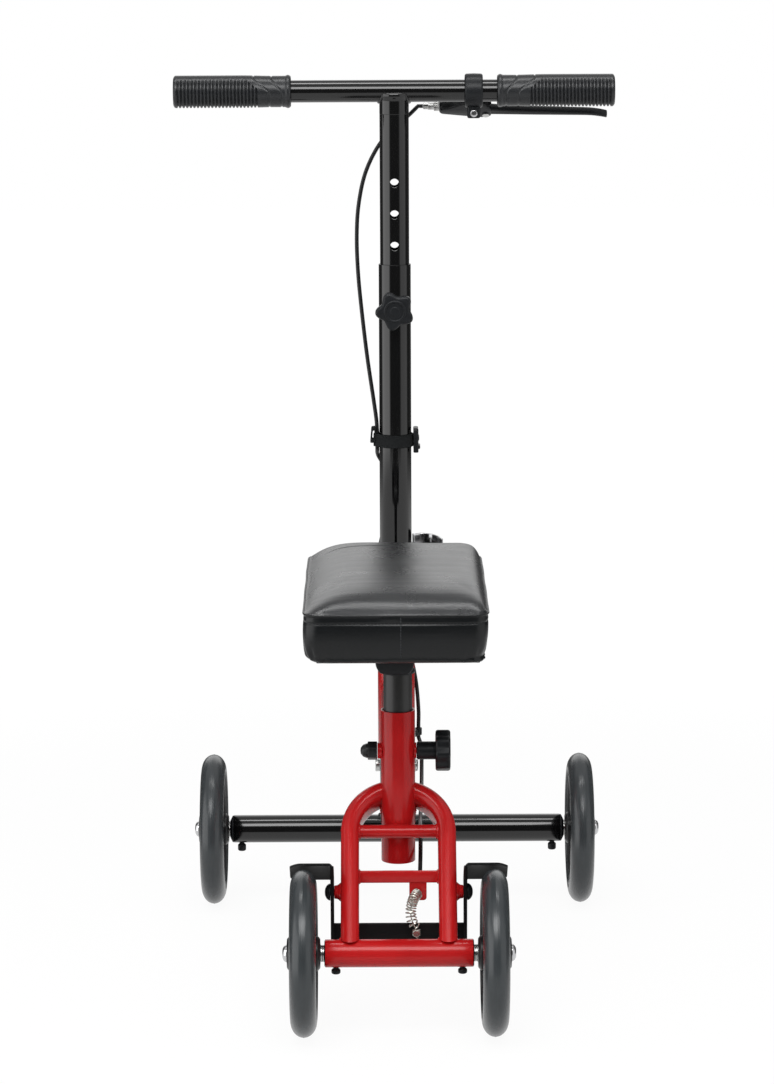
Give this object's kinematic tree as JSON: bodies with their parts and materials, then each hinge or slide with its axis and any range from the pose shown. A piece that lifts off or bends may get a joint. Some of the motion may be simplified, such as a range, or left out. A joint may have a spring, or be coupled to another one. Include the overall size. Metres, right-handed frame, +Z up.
{
  "type": "knee walker",
  "caption": "Steerable knee walker with a red frame, padded knee rest, folding black column, hand brake and solid wheels.",
  "frame": {"origin": "on the ground, midway between the rear and the front axle and between the wheels", "axes": "+X to the rider's right, +Y forward, +Z up"},
  "size_m": [0.5426, 0.7304, 1.0547],
  "materials": {
    "red_paint": "gloss",
    "black_paint": "gloss",
    "black_plastic": "satin",
    "grip_rubber": "matt",
    "tyre_rubber": "matt",
    "pad_vinyl": "satin, fine grain",
    "bright_steel": "zinc plated",
    "dark_board": "matt black",
    "strap_web": "woven, matt"
  },
  "bodies": {
    "frame": {"frame": "red_paint", "head_cup_lower": "black_plastic", "head_cup_upper": "black_plastic", "rear_left_bolt": "bright_steel", "rear_left_plug": "black_plastic", "rear_left_set_screw": "black_plastic", "rear_right_bolt": "bright_steel", "rear_right_plug": "black_plastic", "rear_right_set_screw": "black_plastic", "seat_guide_nut": "black_plastic", "brake_pivot_left": "black_plastic", "brake_pivot_right": "black_plastic", "cable_ferrule": "black_plastic", "brake_wire": "bright_steel", "brake_spring": "bright_steel", "cable_clip": "black_plastic", "cable_lower": "black_plastic"},
    "rear_left_wheel": {"rear_left_tyre": "tyre_rubber", "rear_left_hub": "black_plastic"},
    "rear_right_wheel": {"rear_right_tyre": "tyre_rubber", "rear_right_hub": "black_plastic"},
    "front_left_wheel": {"front_left_tyre": "tyre_rubber", "front_left_hub": "black_plastic"},
    "front_right_wheel": {"front_right_tyre": "tyre_rubber", "front_right_hub": "black_plastic"},
    "steering": {"steering_fork": "black_paint", "fork_bolt": "bright_steel", "fork_nut": "bright_steel", "fold_pin": "bright_steel", "front_left_bolt": "bright_steel", "front_left_plug": "black_plastic", "front_left_set_screw": "black_plastic", "front_right_bolt": "bright_steel", "front_right_plug": "black_plastic", "front_right_set_screw": "black_plastic"},
    "column": {"fold_tongue": "black_paint", "column_tube": "black_paint", "clamp_collar": "black_paint", "quick_bolt": "bright_steel", "strap_band": "strap_web", "strap_buckle": "black_plastic", "cable_upper": "black_plastic", "cable_middle": "black_plastic"},
    "quick_lever": {"quick_lever": "bright_steel"},
    "star_knob": {"star_knob": "black_plastic"},
    "brake_lever": {"brake_lever": "black_plastic"},
    "seat_knob": {"seat_knob": "black_plastic"},
    "handlebar": {"handlebar": "black_paint", "grip_left": "grip_rubber", "grip_right": "grip_rubber", "brake_perch": "black_plastic", "clamp_screw": "bright_steel", "lever_pin": "bright_steel", "barrel_adjuster": "bright_steel"},
    "seat": {"seat_post": "black_paint", "seat_socket": "black_plastic", "seat_board": "dark_board", "seat_cushion": "pad_vinyl"},
    "brake": {"brake_bracket": "black_paint", "wire_anchor": "bright_steel"}
  },
  "joints": [
    {"name": "rear_left_roll", "type": "hinge", "parent": "frame", "child": "rear_left_wheel", "pos_m": [-0.1086, -0.27, 0.09525], "axis": [1, 0, 0], "continuous": true},
    {"name": "rear_right_roll", "type": "hinge", "parent": "frame", "child": "rear_right_wheel", "pos_m": [0.1086, -0.27, 0.09525], "axis": [1, 0, 0], "continuous": true},
    {"name": "steering", "type": "hinge", "parent": "frame", "child": "steering", "pos_m": [0, 0.27, 0.09525], "axis": [0, 0, 1], "range_deg": [-40, 40], "deforming": ["cable_middle"]},
    {"name": "front_left_roll", "type": "hinge", "parent": "steering", "child": "front_left_wheel", "pos_m": [-0.2332, 0.27, 0.09525], "axis": [1, 0, 0], "continuous": true},
    {"name": "front_right_roll", "type": "hinge", "parent": "steering", "child": "front_right_wheel", "pos_m": [0.2332, 0.27, 0.09525], "axis": [1, 0, 0], "continuous": true},
    {"name": "column_fold", "type": "hinge", "parent": "steering", "child": "column", "pos_m": [0, 0.27, 0.395], "axis": [1, 0, 0], "range_deg": [0, 45], "deforming": ["cable_middle"]},
    {"name": "bar_height", "type": "slide", "parent": "column", "child": "handlebar", "axis": [0, 0, 1], "range_m": [-0.156, 0.039], "deforming": ["cable_upper"]},
    {"name": "seat_height", "type": "slide", "parent": "frame", "child": "seat", "axis": [0, 0, 1], "range_m": [-0.04, 0.045]},
    {"name": "brake_pivot", "type": "hinge", "parent": "frame", "child": "brake", "pos_m": [0, -0.217, 0.15209], "axis": [1, 0, 0], "range_deg": [0, 2], "stiffness_Nm_per_rad": 20, "springref_deg": -5.73, "deforming": ["brake_spring", "brake_wire"]},
    {"name": "brake_lever", "type": "hinge", "parent": "handlebar", "child": "brake_lever", "pos_m": [0.114, 0.30986, 1.00739], "axis": [0, -0.5299, -0.848], "range_deg": [0, 12]},
    {"name": "star_knob_turn", "type": "hinge", "parent": "column", "child": "star_knob", "pos_m": [0, 0.2501, 0.765], "axis": [0, 1, 0], "continuous": true},
    {"name": "seat_knob_turn", "type": "hinge", "parent": "frame", "child": "seat_knob", "pos_m": [0.0198, -0.141, 0.2999], "axis": [1, 0, 0], "continuous": true},
    {"name": "quick_lever_turn", "type": "hinge", "parent": "column", "child": "quick_lever", "pos_m": [0.0158, 0.3027, 0.4545], "axis": [0, 0, 1], "range_deg": [0, 90]}
  ],
  "couplings": [
    {"joint": "brake_lever", "follows": "brake_pivot", "ratio": 6}
  ]
}
